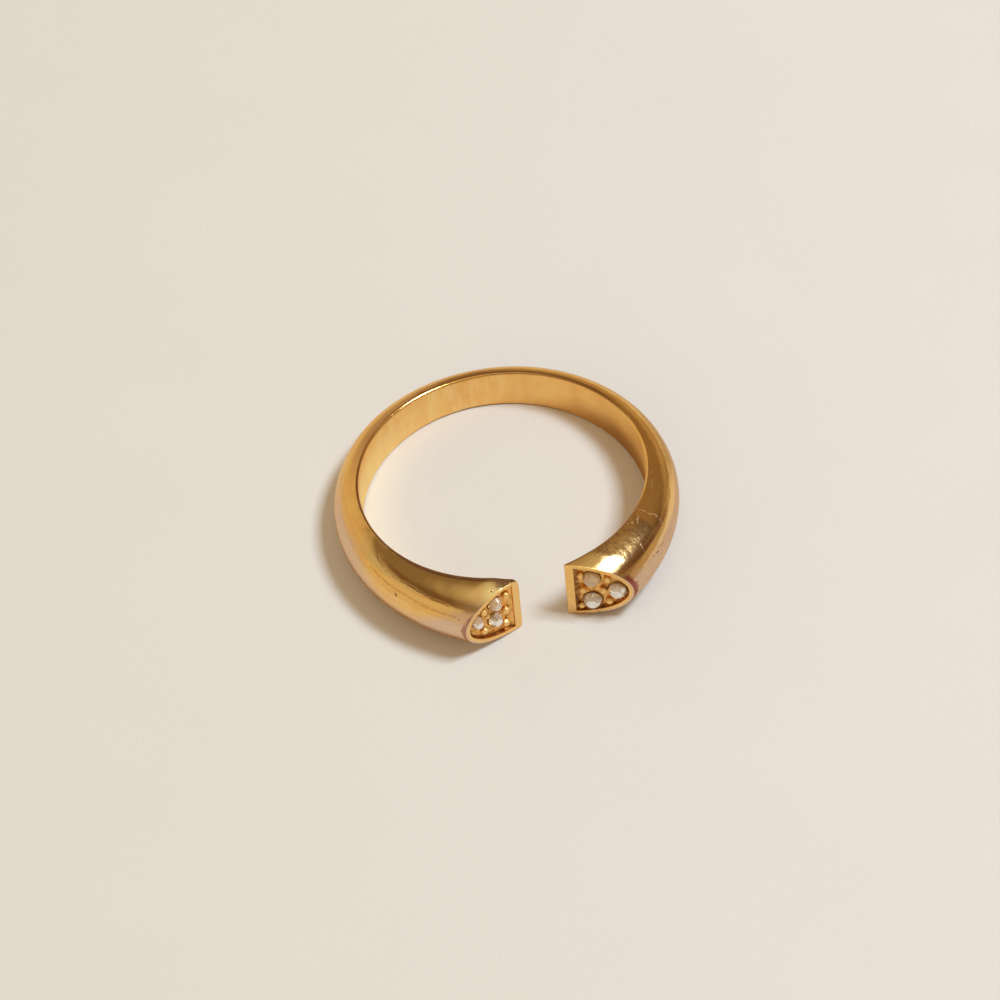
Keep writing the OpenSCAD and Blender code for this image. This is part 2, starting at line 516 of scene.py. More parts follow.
def seat_mesh(side, name):
    """The room that a stone needs, from its culet to its table, and above it."""
    stone = stone_place(name, side)
    gap = SEAT_GAP * MM
    table_r = stone.radius * TABLE_SHARE + gap
    profile = [
        (table_r, stone.table + gap + MM),
        (table_r, stone.table + gap),
        (stone.radius + gap, stone.high_girdle + gap),
        (stone.radius + gap, stone.low_girdle - gap),
        (stone.radius * CULET_SHARE, stone.culet - 2 * gap),
    ]
    rings = [(radius, height, SEAT_SIDES, 0) for radius, height in profile]
    loops = [range(i * SEAT_SIDES, (i + 1) * SEAT_SIDES) for i in range(len(rings))]
    faces = []
    for loop, following in zip(loops, loops[1:]):
        add_strip(faces, loop, following)
    faces += [tuple(loops[0]), tuple(loops[-1])]
    mesh = bpy.data.meshes.new("seat")
    mesh.from_pydata(turned_points(side, stone.centre, rings, 0), [], faces)
    return mesh


def round_edges(band):
    bevel = band.modifiers.new("edges", "BEVEL")
    bevel.limit_method = "ANGLE"
    bevel.angle_limit = math.radians(ROUNDED_ANGLE)
    bevel.width = EDGE_ROUND * MM
    bevel.segments = EDGE_SEGMENTS
    apply_modifiers(band)


def add_grains_and_seats(band):
    grains = joined([grain_mesh(side, row) for side in GRAINS for row in GRAINS[side]], "grains")
    seats = joined([seat_mesh(side, name) for side in STONES for name in STONES[side]], "seats")
    tools = [new_object("grains", grains), new_object("seats", seats)]
    for tool, how in zip(tools, ("UNION", "DIFFERENCE")):
        cut = band.modifiers.new(how, "BOOLEAN")
        cut.operation = how
        cut.object = tool
        cut.solver = "MANIFOLD"
    apply_modifiers(band)
    for tool in tools:
        bpy.data.objects.remove(tool)


def make_band():
    band = new_object("band_metal", band_mesh())
    band.data.transform(LAID @ Matrix.Scale(MM, 4))
    round_edges(band)
    add_grains_and_seats(band)
    band.data.shade_smooth()
    band.data.set_sharp_from_angle(angle=math.radians(SHARP_ANGLE))
    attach(band, "root")
    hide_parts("band")
    return band


# The tips of a stone's star facets, as shares of its radius and of its crown's height
STAR_R = 0.80
STAR_H = 0.62
# Each stone is turned in its seat by an angle that its name gives
NAME_TWIST = 0.37


def stone_mesh(side, name):
    """A small old brilliant: a table, stars, kites and halves above the girdle, and mains below it."""
    stone = stone_place(name, side)
    rings = [
        (stone.radius * TABLE_SHARE, stone.table, 8, 0.0),
        (stone.radius * STAR_R, stone.high_girdle + CROWN_H * STAR_H * MM, 8, 0.5),
        (stone.radius, stone.high_girdle, 16, 0.0),
        (stone.radius, stone.low_girdle, 16, 0.0),
        (stone.radius * CULET_SHARE, stone.culet, 8, 0.0),
    ]
    # the first point of each ring
    table, star, top, low, point = 0, 8, 16, 32, 48
    faces = [tuple(range(table, star)), tuple(range(point, point + 8))]
    for k in range(8):
        n = (k + 1) % 8
        before = (k - 1) % 8
        faces.append((table + k, table + n, star + k))
        faces.append((table + k, star + before, top + 2 * k, star + k))
        faces.append((star + k, top + 2 * k, top + 2 * k + 1))
        faces.append((star + k, top + 2 * k + 1, top + 2 * n))
        faces.append((low + 2 * k, low + 2 * k + 1, point + k))
        faces.append((low + 2 * k + 1, low + 2 * n, point + n, point + k))
    add_strip(faces, range(top, low), range(low, point))
    twist = NAME_TWIST * sum(ord(c) for c in name)
    mesh = bpy.data.meshes.new(name + "_cut")
    mesh.from_pydata(turned_points(side, stone.centre, rings, twist), [], faces)
    return faced_outward(mesh)


def make_stone(side, name, material):
    stone = new_object(name + "_cut", stone_mesh(side, name))
    stone.data.materials.append(material)
    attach(stone, "root")
    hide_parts(name)


# The camera, in the ring's own frame: its angle above the plane, its turn from the gap and its roll; its
# distance in millimetres; its aim in radii of the bore; its lens; and the nearest it shows, in metres
CAMERA_RISE = 47.4
CAMERA_TURN = 11.25
CAMERA_ROLL = -5.96
CAMERA_FAR = 255.0
CAMERA_AIM = (-0.031, -0.067, 0)
CAMERA_LENS = 155.1
CAMERA_NEAR = 0.01


def make_camera():
    rise, roll = math.radians(CAMERA_RISE), math.radians(CAMERA_ROLL)
    ahead = Vector((0, math.cos(rise), -math.sin(rise)))
    right = Vector((1, 0, 0))
    up = right.cross(ahead)
    right, up = (
        right * math.cos(roll) + up * math.sin(roll),
        up * math.cos(roll) - right * math.sin(roll),
    )
    aim = BORE_R * Vector(CAMERA_AIM)
    place = Matrix.Translation((aim - CAMERA_FAR * ahead) * MM)
    turn = Matrix.Rotation(-math.radians(CAMERA_TURN), 4, "Z")
    camera = new_object("camera", bpy.data.cameras.new("camera"))
    camera.data.lens = CAMERA_LENS
    camera.data.clip_start = CAMERA_NEAR
    camera.matrix_world = LAID @ turn @ place @ Matrix((right, up, -ahead)).transposed().to_4x4()
    bpy.context.scene.camera = camera


def direction(azimuth, elevation):
    """A direction from its azimuth, from +Y towards +X, and its elevation, in degrees."""
    a, e = math.radians(azimuth), math.radians(elevation)
    return Vector((math.sin(a) * math.cos(e), math.cos(a) * math.cos(e), math.sin(e)))


# Nodes


def add(tree, kind, inputs, **settings):
    """A new node with its settings, its inputs joined to sockets or set to values."""
    node = tree.nodes.new("ShaderNode" + kind)
    for name, value in settings.items():
        setattr(node, name, value)
    for key, value in inputs.items():
        if isinstance(value, bpy.types.NodeSocket):
            tree.links.new(value, node.inputs[key])
        else:
            node.inputs[key].default_value = value
    return node


def math_node(tree, operation, *values):
    return add(tree, "Math", dict(enumerate(values)), operation=operation).outputs[0]


def smooth(tree, value, low, high):
    """Rises smoothly from 0 where the value is low to 1 where it is high."""
    inputs = {"Value": value, "From Min": low, "From Max": high}
    return add(tree, "MapRange", inputs, interpolation_type="SMOOTHSTEP").outputs[0]


def window(tree, value, *slopes):
    """1 where a value is past all slopes, each the values that give 0 and 1."""
    return product(tree, *(smooth(tree, value, *slope) for slope in slopes))


def product(tree, *values):
    result = values[0]
    for value in values[1:]:
        result = math_node(tree, "MULTIPLY", result, value)
    return result


def largest(tree, values):
    result = values[0]
    for value in values[1:]:
        result = math_node(tree, "MAXIMUM", result, value)
    return result


def total(tree, *terms):
    """The sum of values, or of pairs of a value and its weight."""
    result = 0.0
    for term in terms:
        value, weight = term if isinstance(term, tuple) else (term, 1.0)
        result = math_node(tree, "MULTIPLY_ADD", value, weight, result)
    return result


def inverse(tree, value):
    return math_node(tree, "SUBTRACT", 1.0, value)


def mixed(tree, share, first, second):
    inputs = {0: share, 6: first, 7: second}
    return add(tree, "Mix", inputs, data_type="RGBA").outputs[2]


def noise_node(tree, place, scale, detail=2.0, roughness=0.5):
    inputs = {"Vector": place, "Scale": scale, "Detail": detail, "Roughness": roughness}
    return add(tree, "TexNoise", inputs).outputs[0]


def vector_node(tree, operation, *values):
    """A vector worked out from vectors."""
    return add(tree, "VectorMath", dict(enumerate(values)), operation=operation).outputs[0]


def value_node(tree, operation, *values):
    """A length, a distance or a dot product of vectors."""
    return add(tree, "VectorMath", dict(enumerate(values)), operation=operation).outputs[1]


def scaled(tree, vector, factors):
    return vector_node(tree, "MULTIPLY", vector, factors)


def combined(tree, *values):
    return add(tree, "CombineXYZ", dict(enumerate(values))).outputs[0]


def separated(tree, vector):
    return add(tree, "SeparateXYZ", {0: vector}).outputs


def new_material(name):
    material = bpy.data.materials.new(name)
    material.use_nodes = True
    return material, material.node_tree, material.node_tree.nodes["Principled BSDF"]


def bumped(tree, shader, height):
    """Joins a height in millimetres to the shader's normal."""
    bump = add(tree, "Bump", {"Height": height, "Distance": MM, "Strength": 1.0})
    tree.links.new(bump.outputs[0], shader.inputs["Normal"])


def rgb(red, green, blue):
    return (red, green, blue, 1)


# The floor and the light

# The paper: its colour, how much darker and paler it gets, how fine its fibres and its clouds are, and
# how high the fibres stand, in millimetres
PAPER = rgb(0.84, 0.80, 0.765)
PAPER_DARKEST = 0.965
PAPER_PALEST = 1.03
FIBRES = 3500
CLOUDS = 120
FIBRE_HEIGHT = 0.02

# The lamp: its direction in degrees, its distance and size in metres, its power and its colour
KEY_AZIMUTH = 105
KEY_ELEVATION = 62
KEY_FAR = 0.6
KEY_WIDE = 0.17
KEY_TALL = 0.15
KEY_POWER = 2.5
KEY_COLOUR = (0.77, 0.90, 1.0)

# Warm room light by the sine of its elevation: on the left a pale card with a sharp top edge, elsewhere a
# low pale rim below a darker wall, and overhead a paler light on both sides
CARD_SIDE = [
    (0.0, rgb(0.75, 0.62, 0.42)),
    (0.68, rgb(0.68, 0.56, 0.38)),
    (0.70, rgb(0.26, 0.17, 0.08)),
    (0.86, rgb(0.28, 0.19, 0.10)),
]
WALL_SIDE = [
    (0.0, rgb(0.47, 0.35, 0.21)),
    (0.30, rgb(0.48, 0.36, 0.22)),
    (0.37, rgb(0.27, 0.18, 0.10)),
    (0.72, rgb(0.30, 0.19, 0.10)),
]
OVERHEAD = [(0.93, rgb(0.53, 0.41, 0.25)), (1.0, rgb(0.82, 0.69, 0.50))]
CARD_HEADING = direction(-85, 0)
CARD_EDGE = (-0.05, 0.05)


def tinted(colour, factor):
    return rgb(*(min(factor * c, 1) for c in colour[:3]))


def make_paper():
    material, tree, shader = new_material("paper")
    place = add(tree, "TexCoord", {}).outputs["Object"]
    fibre = noise_node(tree, place, FIBRES, 3.0, 0.6)
    cloud = noise_node(tree, place, CLOUDS, 2.0)
    share = total(tree, (fibre, 0.6), (cloud, 0.4))
    colour = mixed(tree, share, tinted(PAPER, PAPER_DARKEST), tinted(PAPER, PAPER_PALEST))
    tree.links.new(colour, shader.inputs["Base Color"])
    shader.inputs["Roughness"].default_value = 0.9
    bumped(tree, shader, product(tree, fibre, FIBRE_HEIGHT))
    return material


def make_floor():
    bm = bmesh.new()
    bmesh.ops.create_grid(bm, x_segments=1, y_segments=1, size=1.0)
    mesh = mesh_from(bm, "floor")
    mesh.materials.append(make_paper())
    new_object("floor", mesh)


def ramp(tree, value, stops):
    node = add(tree, "ValToRGB", {"Fac": value})
    elements = node.color_ramp.elements
    while len(elements) < len(stops):
        elements.new(1.0)
    for element, (at, colour) in zip(elements, stops):
        element.position = at
        element.color = colour
    return node.outputs[0]


def make_lamp():
    key = new_object("key", bpy.data.lights.new("key", "AREA"))
    key.data.shape = "RECTANGLE"
    key.data.energy = KEY_POWER
    key.data.color = KEY_COLOUR
    key.data.size = KEY_WIDE
    key.data.size_y = KEY_TALL
    key.location = KEY_FAR * direction(KEY_AZIMUTH, KEY_ELEVATION)
    key.rotation_mode = "QUATERNION"
    key.rotation_quaternion = (-key.location).to_track_quat("-Z", "Y")


def make_surround():
    world = bpy.data.worlds.new("world")
    bpy.context.scene.world = world
    world.use_nodes = True
    tree = world.node_tree
    place = add(tree, "TexCoord", {}).outputs["Generated"]
    height = separated(tree, place)[2]
    level = vector_node(tree, "NORMALIZE", scaled(tree, place, (1, 1, 0)))
    facing = value_node(tree, "DOT_PRODUCT", level, CARD_HEADING)
    card = smooth(tree, facing, *CARD_EDGE)
    sides = [ramp(tree, height, stops + OVERHEAD) for stops in (WALL_SIDE, CARD_SIDE)]
    tree.links.new(mixed(tree, card, *sides), tree.nodes["Background"].inputs["Color"])


# The gold, its colours, its wear, and the light and shade painted into it

GILT = rgb(0.95, 0.61, 0.21)
GILT_DEEP = rgb(0.88, 0.51, 0.16)
PALE_WORN = rgb(0.72, 0.53, 0.40)
TARNISH = rgb(0.33, 0.09, 0.075)
POCKET_GOLD = rgb(0.90, 0.50, 0.15)
# also the painted shade along the pockets' walls
DIRT_AND_SHADE = rgb(0.26, 0.11, 0.035)
DULL = rgb(0.42, 0.28, 0.15)
# also the painted reflection stripe on the right arm and the painted glint on the left arm
GRAIN_GOLD = rgb(0.98, 0.68, 0.28)
# also the painted light on the left inner wall and the painted highlight on the left tip
WALL_PALE = rgb(1.0, 0.86, 0.45)
# also painted shade on the right inner wall and on the dark side of the left slope's border
FILM_AND_SHADE = rgb(0.50, 0.27, 0.10)
# also the painted dark reflection along the upper inner edge
ARRIS = rgb(0.36, 0.19, 0.12)
OLIVE = rgb(0.70, 0.53, 0.25)
SCRATCHED = rgb(0.98, 0.68, 0.45)
METAL_EDGE = rgb(0.95, 0.80, 0.62)

# The wear and the painted light and shade are laid out by two angles in degrees: the turn from the back,
# positive on the right arm, and the angle round the section, 0 at its upper inner edge, 90 outermost and
# 180 at its lower inner edge.

# Patches on the outside, by their slopes in turn and then round the section: a painted highlight on the
# left tip, a painted glint on the left arm, a film on the back and a dark border by the right slope. A
# slope is the angle where a patch is gone and the one where it is full.
PATCHES = {
    "painted highlight on the left tip": ([(-156, -161)], [(44, 26)]),
    "left glint": ([(-126, -140), (-154, -150)], [(46, 49), (57, 53)]),
    "film on the back": ([(-80, -50), (25, 5)], [(5, 8), (34, 16)]),
    "right border": ([(120, 130), (154, 146)], [(35, 42), (53, 50.5)]),
}
# The left slope's border moves outward along the arm: degrees round the section for a degree of turn,
# and the slopes of its dark side, which is painted shade, in the sum of the two
BORDER_LEAN = 0.42
BORDER_SLOPES = [(-15.2, -16.6), (-28, -22)]

# Scratches and creases as chains of places, by turn and round the section, and their width
SCRATCHES = [
    [(129.9, 4), (129.5, 25), (128.4, 42), (129.6, 52)],
    [(132.6, 10), (135.6, 16)],
    [(138.4, 6), (136.9, 12)],
    [(108.0, 11), (109.6, 12)],
    [(113.0, 12), (117.0, 14)],
    [(142.4, 40), (142.9, 52)],
    [(-98.0, 12), (-103.0, 22)],
]
SCRATCH_W = 0.048
CREASES = [
    [(-114.0, 50), (-119.0, 52), (-130.3, 55), (-139.4, 59), (-149.8, 61)],
    [(-113.7, 26), (-116.0, 33), (-120.3, 37), (-131.3, 37.5), (-139.6, 42), (-147.0, 46)],
]
CREASE_W = 0.09
# Specks of dirt: a turn, an angle round the section, and a radius in millimetres
SPECKS = [
    (-127.9, 63, 0.10),
    (-80.6, 35, 0.05),
    (-78.5, 33, 0.05),
    (-74.5, 44, 0.07),
    (-151.2, 65, 0.08),
    (-160.9, 19, 0.06),
    (135.9, 70, 0.07),
    (139.4, 69, 0.06),
    (137.2, 66, 0.05),
    (138.4, 72, 0.07),
    (134.4, 73, 0.05),
    (141.0, 67, 0.05),
    (93.0, 84, 0.08),
    (31.0, 12, 0.06),
]
# The shares of a line's and a speck's half width that are full
LINE_CORE = 0.3
SPECK_CORE = 0.5
# The unrolled surface: millimetres for a radian of turn, and for a radian round the section
TURN_R = 10.0
AROUND_R = 2.2

# The borders of the band's parts, each from where a mask is 0 to where it is 1, in millimetres: the tips
# by y in the ring's own frame, and what is off the wall by its radius
TIPS_Y = (-5.4, -5.9)
OFF_WALL_R = (BORE_R + 0.01, BORE_R + 0.05)
# Out of an end face: the face, how deep its pocket may reach, and what is sunk in it
FACE_OUT = (-0.05, -0.015)
POCKET_OUT = (-0.9, -0.8)
SUNK_OUT = (-0.02, -0.07)
# Along the face: the pocket's straight side, and the grains, which are off it
POCKET_X = (WORN_INNER_RIM - 0.03, WORN_INNER_RIM - 0.01)
GRAINS_X = (WORN_INNER_RIM + 0.02, WORN_INNER_RIM + 0.05)
# Above the pocket's floor: the grains
GRAINS_UP = (0.05, 0.11)
# As shares of the oval of the pocket's curved side: the pocket, and the grains
POCKET_OVAL = (1.01, 0.99)
GRAINS_OVAL = (0.985, 0.96)
# In degrees of turn: the arms either way, and the left one
ARMS_TURN = (50, 88)
LEFT_TURN = (1, -1)


def ring_place(tree):
    """Where a point is in the ring's own frame, in millimetres."""
    to_ring = LAID.inverted()
    inputs = {
        "Vector": add(tree, "TexCoord", {}).outputs["Object"],
        "Location": to_ring.translation / MM,
        "Rotation": to_ring.to_euler(),
        "Scale": (1 / MM, 1 / MM, 1 / MM),
    }
    return add(tree, "Mapping", inputs).outputs[0]


def unrolled(turn, around):
    return Vector((math.radians(turn) * TURN_R, math.radians(around) * AROUND_R, 0))


def line_mask(tree, place, start, end, width):
    """1 on the line between two places, and 0 from its width on."""
    along = end - start
    from_start = vector_node(tree, "SUBTRACT", place, start)
    share = value_node(tree, "DOT_PRODUCT", from_start, along / along.length_squared)
    share = add(tree, "Clamp", {0: share}).outputs[0]
    # this factor is one number, which takes less of the shader's memory
    nearest = add(tree, "VectorMath", {0: along, 3: share}, operation="SCALE").outputs[0]
    away = value_node(tree, "DISTANCE", from_start, nearest)
    return smooth(tree, away, width, LINE_CORE * width)


def chains_mask(tree, place, chains, width):
    """1 on the lines from each place of a chain to its next."""
    pairs = [pair for chain in chains for pair in zip(chain, chain[1:])]
    return largest(tree, [line_mask(tree, place, unrolled(*a), unrolled(*b), width) for a, b in pairs])


def point_mask(tree, place, centre, radius):
    away = value_node(tree, "DISTANCE", place, centre)
    return smooth(tree, away, radius, SPECK_CORE * radius)


def waved(tree, at, scale, reach):
    """The unrolled surface pushed about by a noise, so that lines drawn on it aren't straight."""
    push = add(tree, "TexNoise", {"Vector": at.place, "Scale": scale}).outputs[1]
    push = vector_node(tree, "SUBTRACT", push, (0.5, 0.5, 0.5))
    return vector_node(tree, "MULTIPLY_ADD", push, (reach, reach, 0.0), at.surface)


def stretched_noise(tree, surface, along, across, scale=1.0, detail=2.0, roughness=0.5):
    """A noise on the unrolled surface, as fine along the arm and across it as the factors say."""
    return noise_node(tree, scaled(tree, surface, (along, across, 1.0)), scale, detail, roughness)


def oval_share(tree, x, z, long, high):
    """0 in the middle of an ellipse and 1 on it."""
    across, up = math_node(tree, "DIVIDE", x, long), math_node(tree, "DIVIDE", z, high)
    return value_node(tree, "LENGTH", combined(tree, across, up))


def section_angle(tree, turn, radius, z):
    """The angle round the section, in radians, from the same sizes as the band's mesh."""
    arm = math_node(tree, "DIVIDE", math_node(tree, "ABSOLUTE", turn), TIP_ANGLE)
    growth = math_node(tree, "POWER", arm, HEIGHT_GROWTH)
    high = math_node(tree, "MULTIPLY_ADD", growth, (TIP_HEIGHT - BACK_HEIGHT) / 2, BACK_HEIGHT / 2)
    growth = math_node(tree, "POWER", arm, THICKNESS_GROWTH)
    thick = math_node(tree, "MULTIPLY_ADD", growth, TIP_THICKNESS - BACK_THICKNESS, BACK_THICKNESS)
    proud = math_node(tree, "DIVIDE", math_node(tree, "SUBTRACT", radius, BORE_R), thick)
    return math_node(tree, "ARCTAN2", proud, math_node(tree, "DIVIDE", z, high))


def gold_places(tree):
    """Where a point is: in the ring's own frame, by its two angles, unrolled, and on its end face."""
    place = ring_place(tree)
    x, y, z = separated(tree, place)
    radius = value_node(tree, "LENGTH", scaled(tree, place, (1, 1, 0)))
    turn = math_node(tree, "ARCTAN2", x, y)
    around = section_angle(tree, turn, radius, z)
    # the left face is folded onto the right one
    folded = combined(tree, math_node(tree, "ABSOLUTE", x), y, z)
    offset = vector_node(tree, "SUBTRACT", folded, (*FACE_CORNER, 0))
    face_x = value_node(tree, "DOT_PRODUCT", offset, (*ALONG_FACE, 0))
    return SimpleNamespace(
        place=place,
        y=y,
        z=z,
        radius=radius,
        turn=math_node(tree, "DEGREES", turn),
        around=math_node(tree, "DEGREES", around),
        surface=combined(tree, product(tree, turn, TURN_R), product(tree, around, AROUND_R)),
        face_x=face_x,
        face_out=value_node(tree, "DOT_PRODUCT", offset, (*OUT_OF_FACE, 0)),
        oval=oval_share(tree, face_x, z, FACE_L, FACE_H),
        pocket_oval=oval_share(tree, face_x, z, FACE_L - WORN_CURVED_RIM, FACE_H - WORN_CURVED_RIM),
    )


def gold_parts(tree, at):
    """Masks of the band's wall, faces, pockets, grains and outside, and of its arms and tips."""
    tips = smooth(tree, at.y, *TIPS_Y)
    off_wall = smooth(tree, at.radius, *OFF_WALL_R)
    face = product(tree, smooth(tree, at.face_out, *FACE_OUT), tips)
    pocket = product(tree, smooth(tree, at.pocket_oval, *POCKET_OVAL), smooth(tree, at.face_x, *POCKET_X))
    pocket = product(tree, pocket, off_wall, tips, smooth(tree, at.face_out, *POCKET_OUT))
    start = FLOOR_START - FLOOR_SLOPE * WORN_INNER_RIM
    sloped = math_node(tree, "MULTIPLY_ADD", at.face_x, FLOOR_SLOPE, start)
    above_floor = total(tree, at.face_out, math_node(tree, "MINIMUM", sloped, POCKET_DEPTH))
    grains = product(tree, smooth(tree, above_floor, *GRAINS_UP), smooth(tree, at.face_x, *GRAINS_X))
    return SimpleNamespace(
        tips=tips,
        wall=inverse(tree, off_wall),
        face=face,
        pocket=pocket,
        sunk=product(tree, pocket, smooth(tree, at.face_out, *SUNK_OUT)),
        grains=product(tree, pocket, grains, smooth(tree, at.pocket_oval, *GRAINS_OVAL)),
        outside=product(tree, off_wall, inverse(tree, largest(tree, [face, pocket]))),
        arms=smooth(tree, math_node(tree, "ABSOLUTE", at.turn), *ARMS_TURN),
        left_arm=smooth(tree, at.turn, *LEFT_TURN),
    )


def gold_noises(tree, at):
    """The unevenness that the wear follows, and the brush marks on the rough patches."""
    mottle = noise_node(tree, at.place, 4.0, 3.0, 0.55)
    streaks = stretched_noise(tree, at.surface, 0.35, 5.0, 1.0, 3.0, 0.6)
    return SimpleNamespace(
        cloud=noise_node(tree, at.place, 0.55, 2.0),
        mottle=mottle,
        grit=noise_node(tree, at.place, 22.0, 3.0, 0.6),
        dents=noise_node(tree, at.place, 0.9, 1.0),
        streaks=streaks,
        upright=stretched_noise(tree, at.surface, 9.0, 0.0, 1.0, 3.0, 0.7),
        broken=total(tree, (streaks, 0.75), (mottle, 0.25)),
        brushed=total(
            tree,
            (noise_node(tree, at.place, 4.2, 3.0, 0.65), 0.56),
            (stretched_noise(tree, at.surface, 6.0, 0.8), 0.22),
            (stretched_noise(tree, at.surface, 0.8, 6.0), 0.22),
        ),
    )


def patch(tree, at, on, name):
    turns, arounds = PATCHES[name]
    return product(tree, on.outside, window(tree, at.turn, *turns), window(tree, at.around, *arounds))


def rubbed_mask(tree, at, on, noises):
    """The pale metal, whose ragged edge dips on the left arm from the top to the foot and back."""
    dip = product(tree, on.left_arm, window(tree, at.turn, (-96, -128), (-157, -134)))
    shifted = total(tree, at.around, (noises.broken, 26.0), (dip, -48.0), (on.left_arm, 22.0))
    return product(tree, on.outside, on.arms, smooth(tree, shifted, 60, 94))


def painted_stripe_mask(tree, at):
    """A painted reflection: the amber stripe outside the right arm's inner slope, which moves outward near
    the tip.
    """
    inner = total(tree, at.around, (smooth(tree, at.turn, 116, 128), -8.0))
    within = product(tree, smooth(tree, inner, 42, 45), smooth(tree, at.around, 70, 60))
    return product(tree, within, smooth(tree, at.turn, 98, 118))


def film_mask(tree, at, on, noises, stripe):
    """The brown film on the right arm, broken by its streaks."""
    film = product(tree, on.outside, smooth(tree, at.around, 24, 50), smooth(tree, at.turn, -35, 10))
    return product(tree, film, smooth(tree, noises.broken, 0.30, 0.55), inverse(tree, stripe))


def slope_mask(tree, at, on):
    """The inner slopes, all of the left one and more of the right one towards its tip."""
    reach = total(
        tree,
        smooth(tree, at.turn, -98, -112),
        (smooth(tree, at.turn, 98, 112), 0.45),
        (smooth(tree, at.turn, 136, 148), 0.5),
    )
    return product(tree, reach, smooth(tree, at.around, 46, 42), on.outside)


def border_shade_mask(tree, at, on):
    """Painted shade: the dark side of the border between the left arm's inner slope and its outside,
    darkening its reflection.
    """
    leaning = total(tree, at.around, (at.turn, BORDER_LEAN))
    reach = window(tree, at.turn, (-106, -116), (-152, -146))
    return product(tree, window(tree, leaning, *BORDER_SLOPES), reach, on.outside)


def arris_shade_mask(tree, at, on, noises):
    """A painted dark reflection along the upper inner edge: on the left arm, behind on the right, and near
    its tip.
    """
    behind = window(tree, at.turn, (-5, 20), (78, 50))
    widened = total(tree, (smooth(tree, at.turn, -95, -150), 0.22), (noises.mottle, 0.06), (behind, 0.16))
    within = math_node(tree, "SUBTRACT", at.radius, widened)
    bevel = product(tree, smooth(tree, within, BORE_R + 0.15, BORE_R + 0.08), smooth(tree, at.z, 0.9, 1.1))
    faint = product(tree, window(tree, at.turn, (0, 15), (85, 60)), 0.6)
    stretches = [smooth(tree, at.turn, -50, -75), faint, smooth(tree, at.turn, 118, 130)]
    return product(tree, bevel, on.outside, largest(tree, stretches))


def tarnish_mask(tree, at, on, noises):
    """The tarnish just behind the outer side of each face."""
    edge = total(tree, at.face_out, (noises.mottle, 0.5), (on.left_arm, -0.12))
    behind = product(tree, smooth(tree, edge, -0.26, 0.10), window(tree, at.around, (44, 70), (128, 100)))
    solid = math_node(tree, "MULTIPLY_ADD", on.left_arm, -0.25, 0.95)
    return product(tree, smooth(tree, behind, 0.15, 0.7), on.outside, on.tips, solid)


def rough_masks(tree, at, on, noises):
    """The rough patches on the slopes near both tips, and where they are dull as well."""
    uneven = total(tree, at.around, (noises.mottle, 8.0))
    right = product(tree, smooth(tree, at.turn, 132, 135), smooth(tree, uneven, 50, 46))
    right = product(tree, right, smooth(tree, at.face_out, -0.5, -1.1))
    left = product(tree, smooth(tree, at.turn, -160, -163), smooth(tree, uneven, 23, 18))
    rough = product(tree, on.outside, largest(tree, [right, left]))
    dull_right = product(tree, smooth(tree, at.turn, 147, 137), smooth(tree, uneven, 8, 26))
    return rough, product(tree, rough, largest(tree, [dull_right, left]))


def dirt_and_shade_mask(tree, at, on, noises):
    """Dirt and painted shade in the pockets along their walls, on the right also by the straight side, and
    dirt in patches.
    """
    by_straight = product(tree, smooth(tree, at.face_x, 0.85, 0.60), inverse(tree, on.left_arm))
    by_curve = product(tree, smooth(tree, at.pocket_oval, 0.92, 0.98), 0.6)
    # the darkening by the walls is painted shade, and dirt
    wall_dirt_and_shade = largest(tree, [by_curve, by_straight])
    patches = smooth(tree, noises.mottle, 0.44, 0.64)
    return product(tree, on.sunk, total(tree, (wall_dirt_and_shade, 0.75), (patches, 0.5)))


def drawn_masks(tree, at, on):
    """The scratches, creases and specks."""
    wavy = waved(tree, at, 3.4, 0.45)
    flowing = waved(tree, at, 1.2, 0.3)
    patchy = smooth(tree, noise_node(tree, at.place, 5.0, 2.0), 0.30, 0.52)
    spots = [point_mask(tree, wavy, unrolled(turn, around), r) for turn, around, r in SPECKS]
    return SimpleNamespace(
        scratch=product(tree, chains_mask(tree, wavy, SCRATCHES, SCRATCH_W), patchy, on.outside),
        crease=product(tree, chains_mask(tree, flowing, CREASES, CREASE_W), patchy, on.outside),
        specks=product(tree, largest(tree, spots), on.outside),
    )


def gold_wear(tree, at, on, noises):
    """Masks of the wear, and of the painted light on the left inner wall, that colour, gloss and height
    share.
    """
    wear = drawn_masks(tree, at, on)
    wear.pale = rubbed_mask(tree, at, on, noises)
    wear.tarnish = tarnish_mask(tree, at, on, noises)
    wear.rough, wear.dull = rough_masks(tree, at, on, noises)
    # painted light: the left inner wall paler, more so towards its foot
    wear.left_wall = product(tree, on.wall, smooth(tree, at.turn, 5, -60), smooth(tree, at.z, 1.6, 0.0))
    return wear


